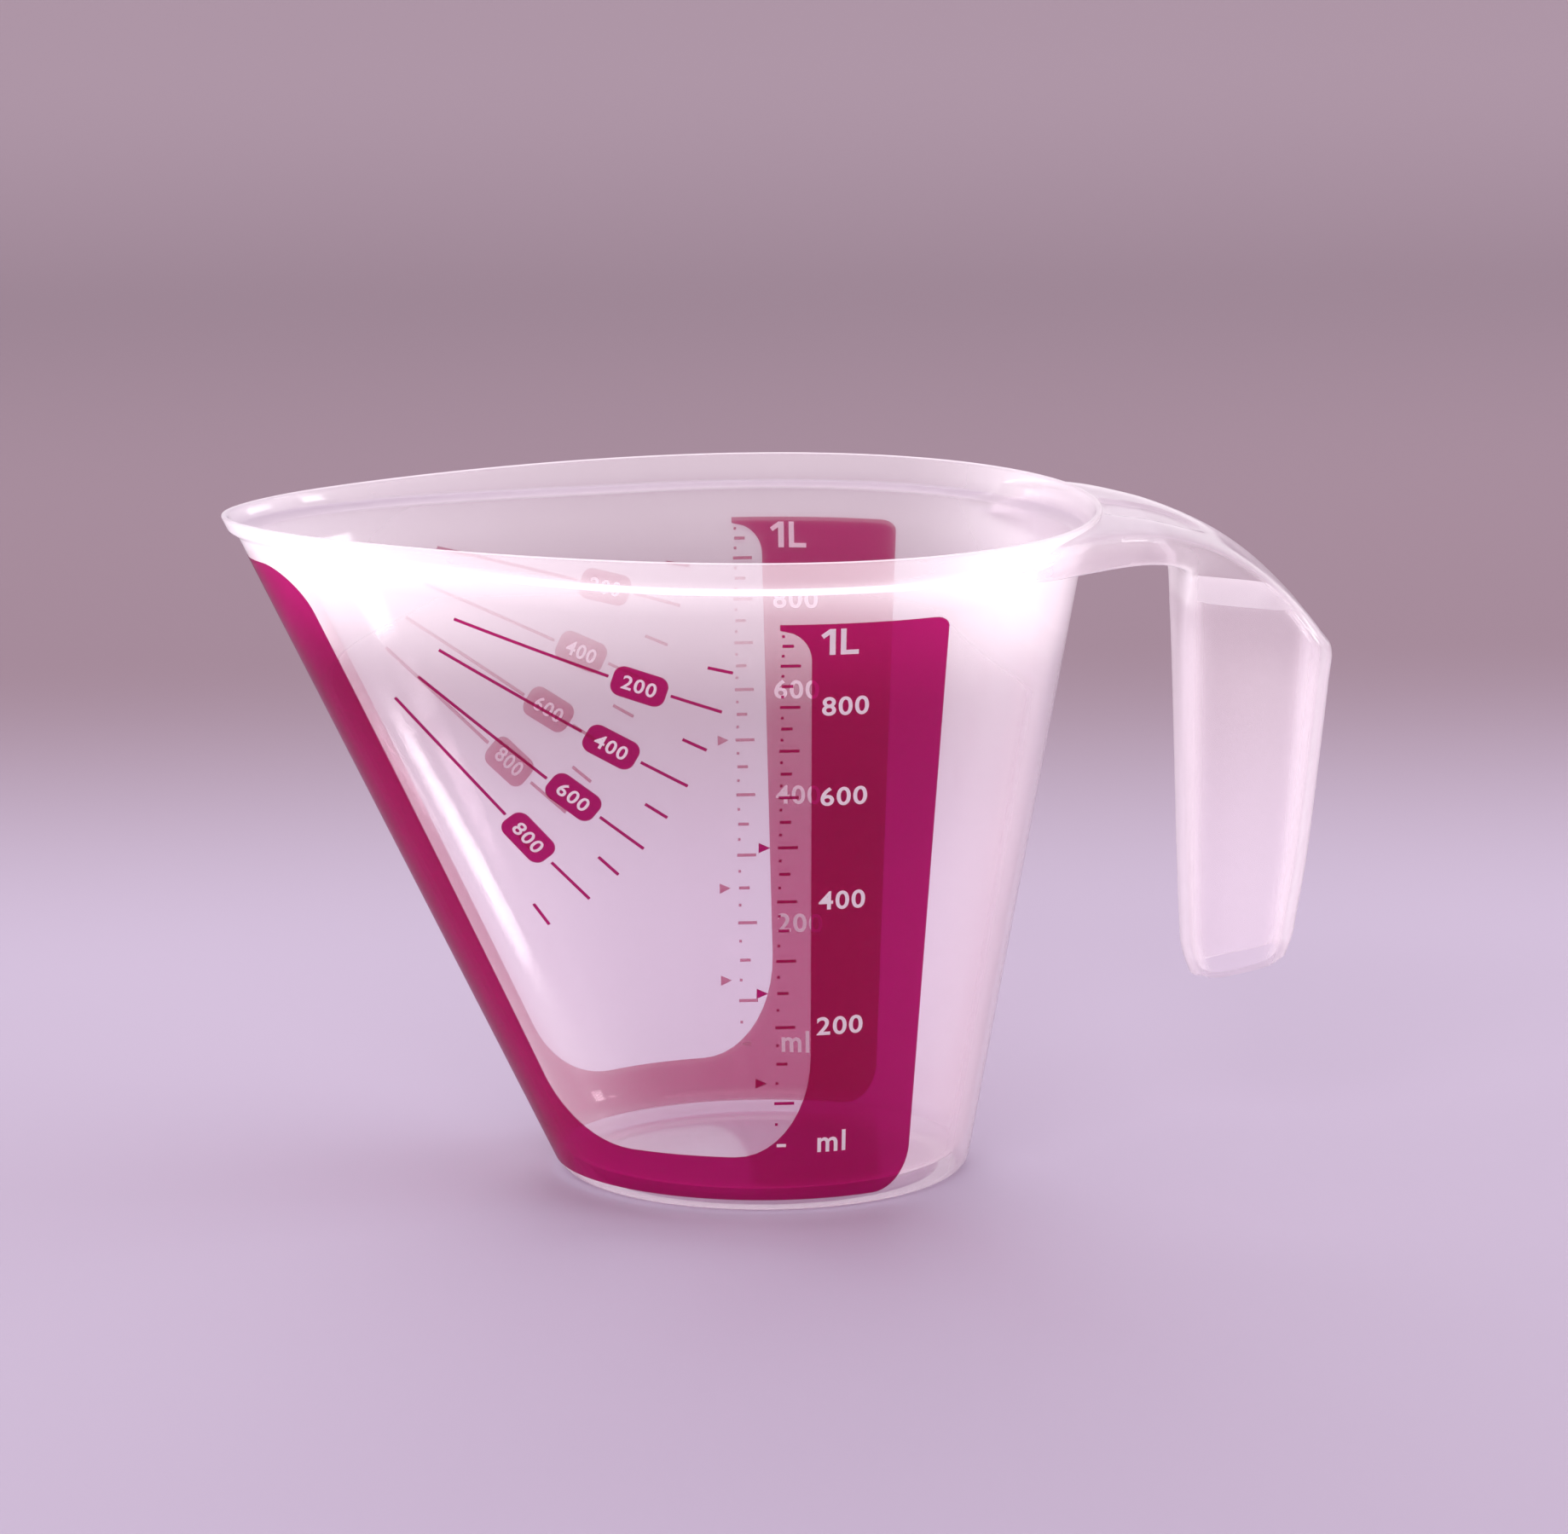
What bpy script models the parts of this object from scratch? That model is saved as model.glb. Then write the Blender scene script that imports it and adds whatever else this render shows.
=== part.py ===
"""One-litre measuring jug: a clear polypropylene moulding and its wrap-round in-mould label film.

The moulding is one piece: a cup with a round foot and a teardrop mouth, a stepped collar round the rim,
a bridge behind the rim and a hollow grip that hangs from it. The film covers both sides of the cup and
goes round the spout's ridge.

Lengths are in millimetres and become metres where a mesh is made. +Z is up, the spout points to -X, the
grip hangs at +X, and the jug is symmetric across Y = 0. The origin is on the table, at the middle of the
jug's length.
"""

import bmesh
import bpy
import numpy as np

METRE = 0.001
AXIS_X = -3.85  # the foot's axis, so that the origin is at the middle of the overall length

# Cup: every wall line is straight from the foot to the rim.
HEIGHT = 133.8
FOOT_FRONT, FOOT_BACK, FOOT_HALF_WIDTH = -39.6, 41.7, 37.7
SPOUT_SLOPE = -0.4851
BACK_SLOPE = 0.178
SIDE_SLOPE, SPOUT_NARROWING, SPOUT_POINTING = 0.1377, 0.1346, 0.0248
WALL = 1.3
FLOOR_TOP = 3.9
FOOT_RECESS = 2.0
FOOT_RING_INNER = 6.0
FOOT_RING_OUTER = 2.2
FOOT_ROUNDING = 2.6
FLOOR_ROUNDING = 3.0
RECESS_DRAFT = 0.8  # how far the recess under the foot narrows towards its roof
WALL_HEIGHTS = (32.0, 62.0, 92.0)  # rings that carry the straight wall between its foot and its collar

# Collar: the wall steps outward below the rim.
COLLAR_STEP = 2.3
COLLAR_STEP_AT_LIP = 1.4
COLLAR_DEPTH = 5.2
COLLAR_DEPTH_AT_LIP = 2.7
COLLAR_SHOULDER = 1.8
LIP_START = 0.8  # cosine of the angle from the ridge where the collar starts to thin towards the lip
RIM_ROUNDING = 0.5

# Bridge and grip.
SECTION_SIDES = 40
SHELL = 1.9
BRIDGE_SHELL = 2.2
CHANNEL_CLEARANCE = 0.5
CHANNEL_BOTTOM = 112.0
CHANNEL_END = 80.6
CHANNEL_SECTIONS = 7
CUP_BACK_BOTTOM = 100.0
GRIP_CORNER_LIFT = 2.4
GRIP_OVERCUT = 12.0  # how far the grip's hollow runs on below its open end
OVERCUT = 5.0  # how far the other cutters run on past the faces that they open

# Label film.
FILM_GAP = 0.3
FILM_THICKNESS = 0.4
FILM_BACK_ANGLE = np.radians(128.2)
FILM_BOTTOM, FILM_TOP, FILM_TOP_AT_RIDGE = 2.9, 121.3, 125.8
FILM_RISE = (0.05, 0.35)  # shares of the way round to the back edge between which the top edge falls
FILM_BOTTOM_CORNER, FILM_TOP_CORNER = 12.0, 3.0
FILM_CORNER_ANGLES = np.radians(np.array([0.0, 0.8, 2.2, 4.6, 8.0, 12.0]))  # from a back edge
FILM_CORNER_START = np.radians(15.5)
WALL_PER_RADIAN = 45.0  # length of wall per radian of the outline's angle, at the film's back edges

OUTLINE_POINTS = 88


def clear_scene():
    for obj in list(bpy.data.objects):
        bpy.data.objects.remove(obj, do_unlink=True)


def plastic(name, colour, roughness, alpha=1.0):
    """A Principled material of one moulded or printed plastic."""
    material = bpy.data.materials.new(name)
    material.use_nodes = True
    shader = material.node_tree.nodes["Principled BSDF"]
    shader.inputs["Base Color"].default_value = (*colour, 1.0)
    shader.inputs["Roughness"].default_value = roughness
    shader.inputs["Metallic"].default_value = 0.0
    shader.inputs["Alpha"].default_value = alpha
    return material


def smooth_step(low, high, value):
    """0 below low, 1 above high, and a smooth S between them."""
    share = np.clip((value - low) / (high - low), 0.0, 1.0)
    return share * share * (3.0 - 2.0 * share)


def outline(angle, height):
    """The cup's outer wall in plan: angle 0 is the spout's ridge, 180 degrees is the back.

    The length runs as -cos(angle) between the ridge and the back. The half width is sin(angle) times a
    factor that is constant at the round foot and falls towards the spout as the height grows.
    """
    front = FOOT_FRONT + SPOUT_SLOPE * height
    back = FOOT_BACK + BACK_SLOPE * height
    along = np.cos(angle)
    fullness = FOOT_HALF_WIDTH + height * (
        SIDE_SLOPE - SPOUT_NARROWING * along - SPOUT_POINTING * along * along
    )
    x = (front + back) / 2.0 - (back - front) / 2.0 * along
    return x, -fullness * np.sin(angle)


def wall_ring(angle, height, outward):
    """Points of the wall outline at a height, moved outward along the outline's own normal in plan."""
    step = 1e-4
    x, y = outline(angle, height)
    ahead_x, ahead_y = outline(angle + step, height)
    behind_x, behind_y = outline(angle - step, height)
    along_x, along_y = ahead_x - behind_x, ahead_y - behind_y
    length = np.hypot(along_x, along_y)
    x = x + outward * along_y / length
    y = y - outward * along_x / length
    return np.stack([x, y, height + 0.0 * angle], axis=-1)


def collar_step(angle):
    lip = smooth_step(LIP_START, 1.0, np.cos(angle))
    return COLLAR_STEP + (COLLAR_STEP_AT_LIP - COLLAR_STEP) * lip


def collar_depth(angle):
    towards_lip = smooth_step(0.0, 1.0, np.cos(angle))
    return COLLAR_DEPTH + (COLLAR_DEPTH_AT_LIP - COLLAR_DEPTH) * towards_lip


def new_object(name, mesh_builder, material=None):
    """A named object whose mesh is built in millimetres about the foot's axis, then placed in metres."""
    shape = bmesh.new()
    mesh_builder(shape)
    bmesh.ops.recalc_face_normals(shape, faces=shape.faces)
    for vertex in shape.verts:
        vertex.co.x = (vertex.co.x + AXIS_X) * METRE
        vertex.co.y *= METRE
        vertex.co.z *= METRE
    mesh = bpy.data.meshes.new(name)
    shape.to_mesh(mesh)
    shape.free()
    obj = bpy.data.objects.new(name, mesh)
    bpy.context.scene.collection.objects.link(obj)
    if material:
        mesh.materials.append(material)
    return obj


def loft(rings):
    """A builder of the closed body through the rings, which all have the same number of points."""

    def build(shape):
        rows = [[shape.verts.new(point) for point in ring] for ring in rings]
        count = len(rows[0])
        for lower, upper in zip(rows, rows[1:]):
            for i in range(count):
                j = (i + 1) % count
                shape.faces.new((lower[i], lower[j], upper[j], upper[i]))
        shape.faces.new(rows[0][::-1])
        shape.faces.new(rows[-1])

    return build


def boolean(target, other, operation):
    modifier = target.modifiers.new(f"{operation.lower()} {other.name}", "BOOLEAN")
    modifier.operation = operation
    modifier.solver = "EXACT"
    modifier.object = other


def as_cutter(obj):
    obj.hide_render = True
    obj.display_type = "WIRE"
    return obj


def round_angles():
    return np.linspace(0.0, 2.0 * np.pi, OUTLINE_POINTS, endpoint=False)


def cup_outside_rings():
    """From the foot's recess, over the foot ring, up the wall and the collar to the rim."""
    angle = round_angles()
    step = collar_step(angle)
    collar_bottom = HEIGHT - collar_depth(angle)
    shoulder_bottom = collar_bottom - COLLAR_SHOULDER
    rings = [
        wall_ring(angle, FOOT_RECESS, -FOOT_RING_INNER - RECESS_DRAFT),
        wall_ring(angle, 0.0, -FOOT_RING_INNER),
        wall_ring(angle, 0.0, -FOOT_RING_OUTER),
    ]
    for share in (0.35, 0.7, 1.0):
        inset = FOOT_RING_OUTER * (1.0 - np.sin(share * np.pi / 2.0))
        height = FOOT_ROUNDING * (1.0 - np.cos(share * np.pi / 2.0))
        rings.append(wall_ring(angle, height, -inset))
    for height in WALL_HEIGHTS:
        rings.append(wall_ring(angle, height, 0.0))
    for share in (0.0, 0.5, 1.0):
        height = shoulder_bottom + share * COLLAR_SHOULDER
        rings.append(wall_ring(angle, height, step * smooth_step(0.0, 1.0, share)))
    rings.append(wall_ring(angle, HEIGHT - RIM_ROUNDING, step))
    rings.append(wall_ring(angle, HEIGHT, step - RIM_ROUNDING))
    return rings


def cup_back_rings():
    """The cup filled in and slightly grown, which keeps the bridge's channel out of the cup's back."""
    angle = round_angles()
    return [
        wall_ring(angle, CUP_BACK_BOTTOM, CHANNEL_CLEARANCE),
        wall_ring(angle, HEIGHT - COLLAR_DEPTH - COLLAR_SHOULDER, CHANNEL_CLEARANCE),
        wall_ring(angle, HEIGHT - COLLAR_DEPTH, COLLAR_STEP + CHANNEL_CLEARANCE),
        wall_ring(angle, HEIGHT + OVERCUT, COLLAR_STEP + CHANNEL_CLEARANCE),
    ]


def cup_inside_rings():
    """From the floor, round its fillet, up the wall and the collar, and out past the rim."""
    angle = round_angles()
    step = collar_step(angle)
    collar_bottom = HEIGHT - collar_depth(angle)
    shoulder_bottom = collar_bottom - COLLAR_SHOULDER
    rings = []
    for share in (0.0, 0.4, 0.75, 1.0):
        inset = FLOOR_ROUNDING * (1.0 - np.sin(share * np.pi / 2.0))
        height = FLOOR_TOP + FLOOR_ROUNDING * (1.0 - np.cos(share * np.pi / 2.0))
        rings.append(wall_ring(angle, height, -WALL - inset))
    for height in WALL_HEIGHTS:
        rings.append(wall_ring(angle, height, -WALL))
    for share in (0.0, 0.5, 1.0):
        height = shoulder_bottom + share * COLLAR_SHOULDER
        rings.append(wall_ring(angle, height, step * smooth_step(0.0, 1.0, share) - WALL))
    rings.append(wall_ring(angle, HEIGHT - RIM_ROUNDING, step - WALL))
    rings.append(wall_ring(angle, HEIGHT, step - WALL + RIM_ROUNDING))
    rings.append(wall_ring(angle, HEIGHT + OVERCUT, step - WALL + RIM_ROUNDING))
    return rings


# The handle is a fan of sections: the bridge's stand upright, then they turn about the inner corner
# above the finger gap, and the grip's lie flat. Each row gives the section's inner point and outer point
# in side view (x, z), its half width, and how square it is (2 is an oval, 8 nearly a rectangle).
HANDLE_SECTIONS = (
    ((44.0, 124.2), (44.0, 131.4), 42.0, 8.0),
    ((54.0, 124.4), (54.0, 132.2), 38.4, 8.0),
    ((62.0, 124.7), (62.0, 132.7), 33.2, 8.0),
    ((68.0, 124.9), (68.0, 132.6), 29.2, 8.0),
    ((73.5, 124.7), (73.8, 131.9), 25.4, 7.5),
    ((78.5, 124.0), (79.6, 130.7), 22.3, 7.0),
    ((82.0, 122.6), (86.6, 128.3), 19.6, 6.0),
    ((82.6, 121.2), (93.6, 124.8), 18.3, 5.2),
    ((82.8, 119.2), (100.4, 119.9), 17.8, 4.6),
    ((82.9, 116.0), (107.0, 113.4), 17.2, 4.2),
    ((82.9, 111.0), (111.6, 107.6), 16.5, 4.0),
    ((83.0, 106.0), (113.5, 104.4), 16.0, 3.8),
    ((83.2, 98.0), (113.1, 97.6), 15.2, 3.6),
    ((83.7, 80.0), (111.5, 80.0), 13.3, 3.4),
    ((84.2, 62.0), (109.7, 62.0), 11.4, 3.2),
    ((84.8, 47.0), (107.9, 50.0), 9.9, 3.0),
    ((85.3, 41.8), (107.2, 45.6), 9.3, 2.9),
    ((86.9, 37.0), (105.6, 41.0), 8.7, 2.8),
)
FIRST_GRIP_SECTION = 9


def section_ring(inner, outer, half_width, squareness, inset=0.0):
    """A superellipse between the inner and outer points, across the jug's middle plane.

    Along the section it is cos(angle), and across it sin(angle), both raised to 2 / squareness.
    """
    angle = np.linspace(0.0, 2.0 * np.pi, SECTION_SIDES, endpoint=False)
    power = 2.0 / squareness
    along = np.sign(np.cos(angle)) * np.abs(np.cos(angle)) ** power
    across = np.sign(np.sin(angle)) * np.abs(np.sin(angle)) ** power
    inner = np.array(inner)
    outer = np.array(outer)
    centre = (inner + outer) / 2.0
    half = (outer - inner) / 2.0
    half = half * (1.0 - inset / np.hypot(*half))
    x = centre[0] + half[0] * along
    z = centre[1] + half[1] * along
    return np.stack([x, (half_width - inset) * across, z], axis=-1)


def handle_outside_rings():
    """The handle's sections. The last one lifts at its inner and outer ends, for the grip's round corners."""
    rings = [section_ring(*section) for section in HANDLE_SECTIONS]
    last = rings[-1]
    middle = (last[:, 0].min() + last[:, 0].max()) / 2.0
    along = (last[:, 0] - middle) / np.ptp(last[:, 0]) * 2.0
    last[:, 2] += GRIP_CORNER_LIFT * along**6
    return rings


def grip_hollow_rings():
    """The sleeve's hollow: the grip sections moved in by the wall, and on through the open bottom."""
    rings = [section_ring(*section, inset=SHELL) for section in HANDLE_SECTIONS[FIRST_GRIP_SECTION:]]
    below = rings[-1].copy()
    below[:, 2] -= GRIP_OVERCUT
    return rings + [below]


def bridge_channel_rings():
    """The channel under the bridge: open below, with the top plate and two side skirts left standing."""
    rings = []
    for inner, outer, half_width, _ in HANDLE_SECTIONS[:CHANNEL_SECTIONS]:
        x = min(inner[0], CHANNEL_END)
        half = half_width - BRIDGE_SHELL
        floor, roof = CHANNEL_BOTTOM, outer[1] - BRIDGE_SHELL
        rings.append(np.array([[x, -half, floor], [x, half, floor], [x, half, roof], [x, -half, roof]]))
    return rings


def build_moulding(material):
    """Cup, collar, bridge and grip joined into one moulding, then hollowed."""
    moulding = new_object("jug_moulding", loft(cup_outside_rings()), material)
    cup_back = as_cutter(new_object("cup_back", loft(cup_back_rings())))
    handle = as_cutter(new_object("handle_outside", loft(handle_outside_rings())))
    cavity = as_cutter(new_object("cup_cavity", loft(cup_inside_rings())))
    sleeve = as_cutter(new_object("grip_hollow", loft(grip_hollow_rings())))
    channel = as_cutter(new_object("bridge_channel", loft(bridge_channel_rings())))
    boolean(channel, cup_back, "DIFFERENCE")
    boolean(moulding, handle, "UNION")
    boolean(moulding, cavity, "DIFFERENCE")
    boolean(moulding, channel, "DIFFERENCE")
    boolean(moulding, sleeve, "DIFFERENCE")
    return moulding


def film_edges(angle):
    """The film's bottom and top heights at an angle, with its four corners rounded."""
    share_back = np.abs(angle) / FILM_BACK_ANGLE
    top = FILM_TOP + (FILM_TOP_AT_RIDGE - FILM_TOP) * (1.0 - smooth_step(*FILM_RISE, share_back))
    bottom = FILM_BOTTOM + 0.0 * angle
    to_edge = (FILM_BACK_ANGLE - np.abs(angle)) * WALL_PER_RADIAN
    for radius, side in ((FILM_BOTTOM_CORNER, -1.0), (FILM_TOP_CORNER, 1.0)):
        inside = np.clip(radius - to_edge, 0.0, radius)
        drop = radius - np.sqrt(radius * radius - inside * inside)
        if side < 0.0:
            bottom = bottom + drop
        else:
            top = top - drop
    return bottom, top


def build_film(material):
    """A thin sheet that follows the wall at a small gap, from one back edge round the ridge to the other."""
    side = np.linspace(0.0, FILM_BACK_ANGLE - FILM_CORNER_START, 24)
    half = np.concatenate([side, (FILM_BACK_ANGLE - FILM_CORNER_ANGLES)[::-1]])
    angle = np.concatenate([-half[:0:-1], half])
    bottom, top = film_edges(angle)
    levels = np.linspace(0.0, 1.0, 5)

    def sheet(outward):
        rows = []
        for share in levels:
            height = bottom + (top - bottom) * share
            rows.append(wall_ring(angle, height, outward))
        return np.array(rows)

    def build(shape):
        inner = sheet(FILM_GAP)
        outer = sheet(FILM_GAP + FILM_THICKNESS)
        inner_points = [[shape.verts.new(point) for point in row] for row in inner]
        outer_points = [[shape.verts.new(point) for point in row] for row in outer]
        last_row, last = len(levels) - 1, len(angle) - 1
        for grid in (inner_points, outer_points):
            for i in range(last_row):
                for j in range(last):
                    shape.faces.new((grid[i][j], grid[i][j + 1], grid[i + 1][j + 1], grid[i + 1][j]))
        for i in (0, last_row):
            for j in range(last):
                shape.faces.new(
                    (inner_points[i][j], inner_points[i][j + 1], outer_points[i][j + 1], outer_points[i][j])
                )
        for j in (0, last):
            for i in range(last_row):
                shape.faces.new(
                    (inner_points[i][j], inner_points[i + 1][j], outer_points[i + 1][j], outer_points[i][j])
                )

    return new_object("label_film", build, material)


def main():
    clear_scene()
    clear_polypropylene = plastic("clear_polypropylene", (0.86, 0.80, 0.86), 0.25, alpha=0.45)
    printed_film = plastic("printed_film", (0.33, 0.02, 0.10), 0.3)
    moulding = build_moulding(clear_polypropylene)
    film = build_film(printed_film)
    for obj in (moulding, film):
        obj.data.shade_smooth()
        obj.data.set_sharp_from_angle(angle=np.radians(40.0))


main()
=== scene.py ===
"""A clear plastic measuring jug for one litre, with its printed in-mould label, on a pale studio floor.

The sections follow the jug as it is made: the polypropylene moulding, the magenta print and the white
print of its label, and then the floor, the light and the camera. The jug's lengths are in millimetres
about the foot's axis, and become metres where a mesh is made. The studio's are in metres.
"""

import bmesh
import bpy
import numpy as np
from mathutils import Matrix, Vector


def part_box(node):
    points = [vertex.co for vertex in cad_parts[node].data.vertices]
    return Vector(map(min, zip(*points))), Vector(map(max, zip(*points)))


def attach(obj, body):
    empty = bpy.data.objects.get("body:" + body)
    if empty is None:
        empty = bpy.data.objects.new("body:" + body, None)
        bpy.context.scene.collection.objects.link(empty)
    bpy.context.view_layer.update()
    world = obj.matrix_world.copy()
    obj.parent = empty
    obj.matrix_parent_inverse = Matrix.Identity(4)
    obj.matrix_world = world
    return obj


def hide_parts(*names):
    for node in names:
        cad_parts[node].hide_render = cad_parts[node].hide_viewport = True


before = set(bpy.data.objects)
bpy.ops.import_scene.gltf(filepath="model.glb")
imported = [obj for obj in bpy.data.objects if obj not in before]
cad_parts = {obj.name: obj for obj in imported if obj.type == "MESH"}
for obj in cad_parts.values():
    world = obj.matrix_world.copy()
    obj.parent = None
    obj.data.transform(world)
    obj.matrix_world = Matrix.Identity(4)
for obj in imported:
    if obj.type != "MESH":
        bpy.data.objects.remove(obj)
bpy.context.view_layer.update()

# ---------------------------------------------------------------------------------------------------------
# The jug. One injection moulding in clear polypropylene, with the cup, the stepped collar, the bridge and
# the hollow grip all in one shot. Polypropylene is partly crystalline, so it is milky rather than glass
# clear, and it looks whiter wherever the sight line runs along a wall.
# ---------------------------------------------------------------------------------------------------------

METRE = 0.001
jug_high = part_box("jug_moulding")[1]
GRIP_BACK = 113.5  # from the foot's axis to the grip's outermost point
AXIS_X = jug_high.x / METRE - GRIP_BACK
HEIGHT = jug_high.z / METRE

# The foot, and how far the outline moves outwards for each millimetre of height.
FOOT_FRONT, FOOT_BACK, FOOT_HALF_WIDTH = -39.6, 41.7, 37.7
SPOUT_SLOPE, BACK_SLOPE = -0.4851, 0.178
SIDE_SLOPE, SPOUT_NARROWING, SPOUT_POINTING = 0.1377, 0.1346, 0.0248

WALL = 1.3
FLOOR_TOP = 3.9
FOOT_RECESS, FOOT_RING_INNER, FOOT_RING_OUTER = 2.0, 6.0, 2.2
RECESS_PROFILE = ((FOOT_RECESS, -0.8), (0.3, -0.1), (0.0, 0.3))  # height, and outward of the inner edge
FOOT_ROUNDING, FLOOR_ROUNDING = 2.6, 3.0
COLLAR_STEP, COLLAR_STEP_AT_LIP = 2.3, 1.4
COLLAR_DEPTH, COLLAR_DEPTH_AT_LIP = 5.2, 2.7
COLLAR_SHOULDER = 1.8
COLLAR_SHARES = (0.35, 0.7)  # of the way up from the collar's bottom to the rim's rounding
LIP_START = 0.8  # the cosine of the angle from the ridge at which the step shrinks towards the lip
RIM_ROUNDING = 0.6
CAVITY_ABOVE_RIM = 4.0  # how far the cup's cavity is cut past the rim

ROUND_POINTS = 360
WALL_RINGS, SHOULDER_RINGS = 24, 9
FOOT_TURN_STEPS, RIM_TURN_STEPS = 9, 6


def smooth_step(low, high, value):
    """0 below low, 1 above high, and the cubic S curve between them."""
    share = np.clip((value - low) / (high - low), 0.0, 1.0)
    return share * share * (3.0 - 2.0 * share)


def outline(angle, height):
    """The outside of the cup in plan, where angle 0 is the spout's ridge and 180 degrees is the back.

    x runs from the ridge to the back as minus the cosine of the angle. y is the sine of the angle times a
    fullness, which is that of a circle at the foot and falls towards the spout as the height grows.
    """
    front = FOOT_FRONT + SPOUT_SLOPE * height
    back = FOOT_BACK + BACK_SLOPE * height
    along = np.cos(angle)
    fullness = FOOT_HALF_WIDTH + height * (
        SIDE_SLOPE - SPOUT_NARROWING * along - SPOUT_POINTING * along * along
    )
    return (front + back) / 2.0 - (back - front) / 2.0 * along, -fullness * np.sin(angle)


def wall(angle, height, outward=0.0):
    """Points of the outline at a height, moved outward along the outline's normal in plan."""
    angle, height, outward = np.broadcast_arrays(
        np.asarray(angle, float), np.asarray(height, float), np.asarray(outward, float)
    )
    small = 1e-4
    x, y = outline(angle, height)
    ahead_x, ahead_y = outline(angle + small, height)
    behind_x, behind_y = outline(angle - small, height)
    along_x, along_y = ahead_x - behind_x, ahead_y - behind_y
    length = np.hypot(along_x, along_y)
    return np.stack(
        [x + outward * along_y / length, y - outward * along_x / length, height], axis=-1
    )


def angle_at(x, height):
    """The outline's angle on the near side where the cup's side view has this x and height."""
    front = FOOT_FRONT + SPOUT_SLOPE * height
    back = FOOT_BACK + BACK_SLOPE * height
    return np.arccos(np.clip(((front + back) / 2.0 - x) / ((back - front) / 2.0), -1.0, 1.0))


def grid_faces(rows, columns, wrap=False):
    """The quads of a grid of points listed row by row, with the last column joined to the first on wrap."""
    across = columns if wrap else columns - 1
    row, column = np.meshgrid(np.arange(rows - 1), np.arange(across), indexing="ij")
    row, column = row.ravel(), column.ravel()
    ahead = (column + 1) % columns
    return np.stack(
        [
            row * columns + column,
            row * columns + ahead,
            (row + 1) * columns + ahead,
            (row + 1) * columns + column,
        ],
        axis=1,
    )


def mesh_of(name, points, faces):
    """A mesh in metres from points in millimetres about the foot's axis, and a list of faces."""
    placed = (np.asarray(points, float).reshape(-1, 3) + (AXIS_X, 0.0, 0.0)) * METRE
    mesh = bpy.data.meshes.new(name)
    mesh.from_pydata(placed.tolist(), [], [tuple(map(int, face)) for face in faces])
    mesh.validate()
    return mesh


def loft(name, rings):
    """An object whose closed body runs through the rings and is capped flat at both ends."""
    rings = np.asarray(rings)
    rows, columns = rings.shape[:2]
    faces = grid_faces(rows, columns, wrap=True).tolist()
    faces.append(list(range(columns))[::-1])
    faces.append([(rows - 1) * columns + i for i in range(columns)])
    obj = bpy.data.objects.new(name, mesh_of(name, rings, faces))
    bpy.context.scene.collection.objects.link(obj)
    outward_faces(obj.data)
    return obj


def outward_faces(mesh):
    """Turns a closed mesh the right way out."""
    shape = bmesh.new()
    shape.from_mesh(mesh)
    bmesh.ops.recalc_face_normals(shape, faces=shape.faces)
    shape.to_mesh(mesh)
    shape.free()


def quarter_turn(count):
    """Shares of a quarter turn as (sine, one minus cosine), for a rounded edge in that many steps."""
    turn = np.linspace(0.0, np.pi / 2.0, count)
    return list(zip(np.sin(turn), 1.0 - np.cos(turn)))


around = np.linspace(0.0, 2.0 * np.pi, ROUND_POINTS, endpoint=False)
near_lip = smooth_step(LIP_START, 1.0, np.cos(around))
collar_step = COLLAR_STEP + (COLLAR_STEP_AT_LIP - COLLAR_STEP) * near_lip
front_half = smooth_step(0.0, 1.0, np.cos(around))
collar_bottom = HEIGHT - (COLLAR_DEPTH + (COLLAR_DEPTH_AT_LIP - COLLAR_DEPTH) * front_half)
shoulder_bottom = collar_bottom - COLLAR_SHOULDER
wall_shares = np.linspace(0.0, 1.0, WALL_RINGS + 2)[1:-1]
shoulder_shares = np.linspace(0.0, 1.0, SHOULDER_RINGS)
rim_bottom = HEIGHT - RIM_ROUNDING

# The outside, from the recess under the foot up to the rim.
outside = [wall(around, height, -FOOT_RING_INNER + outward) for height, outward in RECESS_PROFILE]
outside.append(wall(around, 0.0, -FOOT_RING_OUTER))
for sine, rise in quarter_turn(FOOT_TURN_STEPS)[1:]:
    outside.append(wall(around, FOOT_ROUNDING * rise, -FOOT_RING_OUTER * (1.0 - sine)))
for share in wall_shares:
    outside.append(wall(around, FOOT_ROUNDING + (shoulder_bottom - FOOT_ROUNDING) * share))
for share in shoulder_shares:
    step = collar_step * smooth_step(0.0, 1.0, share)
    outside.append(wall(around, shoulder_bottom + share * COLLAR_SHOULDER, step))
for share in COLLAR_SHARES:
    outside.append(wall(around, collar_bottom + (rim_bottom - collar_bottom) * share, collar_step))
for sine, rise in quarter_turn(RIM_TURN_STEPS):
    outside.append(wall(around, HEIGHT - RIM_ROUNDING * (1.0 - sine), collar_step - RIM_ROUNDING * rise))

# The cavity, from the floor up to the rim and past it.
inside_bottom = FLOOR_TOP + FLOOR_ROUNDING
inside = []
for sine, rise in quarter_turn(FOOT_TURN_STEPS):
    inside.append(wall(around, FLOOR_TOP + FLOOR_ROUNDING * rise, -WALL - FLOOR_ROUNDING * (1.0 - sine)))
for share in wall_shares:
    inside.append(wall(around, inside_bottom + (shoulder_bottom - inside_bottom) * share, -WALL))
for share in shoulder_shares:
    step = collar_step * smooth_step(0.0, 1.0, share)
    inside.append(wall(around, shoulder_bottom + share * COLLAR_SHOULDER, step - WALL))
for share in COLLAR_SHARES:
    inside.append(wall(around, collar_bottom + (rim_bottom - collar_bottom) * share, collar_step - WALL))
for sine, rise in quarter_turn(RIM_TURN_STEPS):
    inside.append(
        wall(around, HEIGHT - RIM_ROUNDING * (1.0 - sine), collar_step - WALL + RIM_ROUNDING * rise)
    )
inside.append(wall(around, HEIGHT + CAVITY_ABOVE_RIM, collar_step - WALL + RIM_ROUNDING))

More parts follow.
